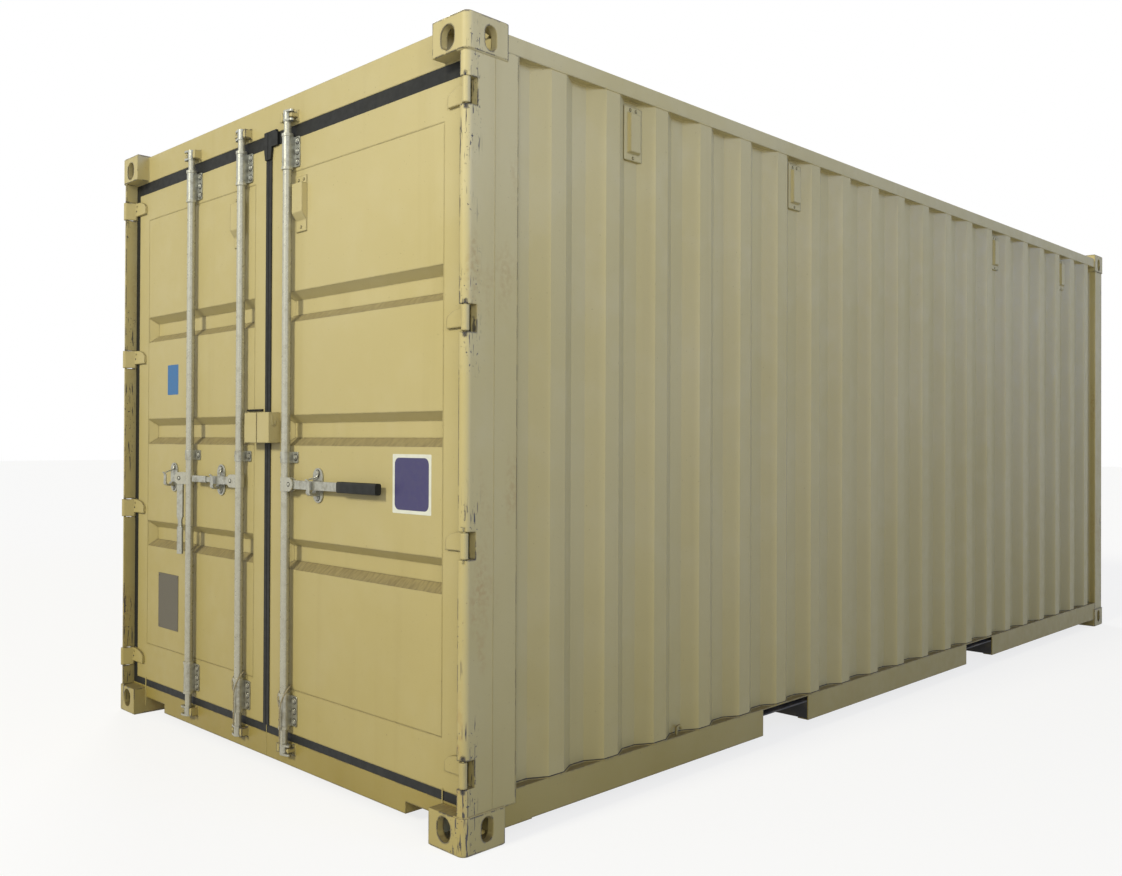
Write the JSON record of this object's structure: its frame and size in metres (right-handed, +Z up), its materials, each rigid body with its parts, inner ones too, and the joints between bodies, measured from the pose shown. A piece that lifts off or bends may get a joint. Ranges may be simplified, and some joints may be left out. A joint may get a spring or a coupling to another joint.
{
  "type": "shipping container",
  "caption": "Steel freight container with corrugated walls, corner castings and hinged rear doors closed by turning lock rods.",
  "frame": {"origin": "centre of the base, level with the undersides of the bottom corner castings", "axes": "+Z up, +Y along the length away from the doors, +X to the right when facing the doors"},
  "size_m": [2.438, 6.0665, 2.591],
  "materials": {
    "painted_steel": "warm cream paint on steel sheet and sections, scuffed on the castings and posts",
    "galvanised_steel": "dull zinc-coated steel",
    "seal_rubber": "matt black door seal",
    "grip_rubber": "black moulded sleeve",
    "rope": "thin weathered tie rope",
    "floor_board": "varnished plywood floor",
    "underframe_paint": "black underseal on the cross members and fork pockets"
  },
  "bodies": {
    "root": {"bottom_side_rail_left": "painted_steel", "bottom_side_rail_right": "painted_steel", "cam_keepers": "painted_steel", "casting_front_bottom_left": "painted_steel", "casting_front_bottom_right": "painted_steel", "casting_front_top_left": "painted_steel", "casting_front_top_right": "painted_steel", "casting_rear_bottom_left": "painted_steel", "casting_rear_bottom_right": "painted_steel", "casting_rear_top_left": "painted_steel", "casting_rear_top_right": "painted_steel", "cross_members": "underframe_paint", "door_header": "painted_steel", "door_sill": "painted_steel", "floor": "floor_board", "fork_pocket_tops": "underframe_paint", "fork_pockets": "underframe_paint", "front_bottom_rail": "painted_steel", "front_post_left": "painted_steel", "front_post_right": "painted_steel", "front_top_rail": "painted_steel", "front_wall": "painted_steel", "rear_post_left": "painted_steel", "rear_post_right": "painted_steel", "roof": "painted_steel", "side_vents": "painted_steel", "side_wall_left": "painted_steel", "side_wall_right": "painted_steel", "top_side_rail_left": "painted_steel", "top_side_rail_right": "painted_steel"},
    "door_left": {"door_frame_left": "painted_steel", "door_panel_left": "painted_steel", "door_gasket_left": "seal_rubber", "door_hinges_left": "painted_steel", "rod_gear_left": "galvanised_steel", "handle_cradles_left": "galvanised_steel", "lock_box_left": "painted_steel", "rope_2": "rope"},
    "door_right": {"door_frame_right": "painted_steel", "door_panel_right": "painted_steel", "door_gasket_right": "seal_rubber", "door_hinges_right": "painted_steel", "rod_gear_right": "galvanised_steel", "handle_cradles_right": "galvanised_steel", "lock_box_right": "painted_steel", "rope_3": "rope"},
    "rod_1": {"lock_rod_1": "galvanised_steel", "rod_cams_1": "galvanised_steel"},
    "handle_1": {"handle_1": "galvanised_steel"},
    "rod_2": {"lock_rod_2": "galvanised_steel", "rod_cams_2": "galvanised_steel"},
    "handle_2": {"handle_2": "galvanised_steel"},
    "rod_3": {"lock_rod_3": "galvanised_steel", "rod_cams_3": "galvanised_steel"},
    "handle_3": {"handle_3": "galvanised_steel", "handle_grip": "grip_rubber"}
  },
  "joints": [
    {"name": "door_left_hinge", "type": "hinge", "parent": "root", "child": "door_left", "pos_m": [-1.202, -3.014, 1.3], "axis": [0, 0, 1], "range_deg": [-266, 0]},
    {"name": "door_right_hinge", "type": "hinge", "parent": "root", "child": "door_right", "pos_m": [1.202, -3.014, 1.3], "axis": [0, 0, -1], "range_deg": [-266, 0]},
    {"name": "rod_1_turn", "type": "hinge", "parent": "door_left", "child": "rod_1", "pos_m": [-0.594, -2.9965, 1.3], "axis": [0, 0, 1], "range_deg": [-20, 80]},
    {"name": "handle_1_pivot", "type": "hinge", "parent": "rod_1", "child": "handle_1", "pos_m": [-0.63466, -3.01928, 1.104], "axis": [-0.342, 0.9397, 0], "range_deg": [0, 100]},
    {"name": "rod_2_turn", "type": "hinge", "parent": "door_left", "child": "rod_2", "pos_m": [-0.174, -2.9965, 1.3], "axis": [0, 0, 1], "range_deg": [0, 100]},
    {"name": "handle_2_pivot", "type": "hinge", "parent": "rod_2", "child": "handle_2", "pos_m": [-0.22, -3.004, 1.104], "axis": [0, 1, 0], "range_deg": [0, 15]},
    {"name": "rod_3_turn", "type": "hinge", "parent": "door_right", "child": "rod_3", "pos_m": [0.167, -2.9965, 1.3], "axis": [0, 0, -1], "range_deg": [0, 100]},
    {"name": "handle_3_pivot", "type": "hinge", "parent": "rod_3", "child": "handle_3", "pos_m": [0.213, -3.004, 1.104], "axis": [0, -1, 0], "range_deg": [0, 15]}
  ]
}
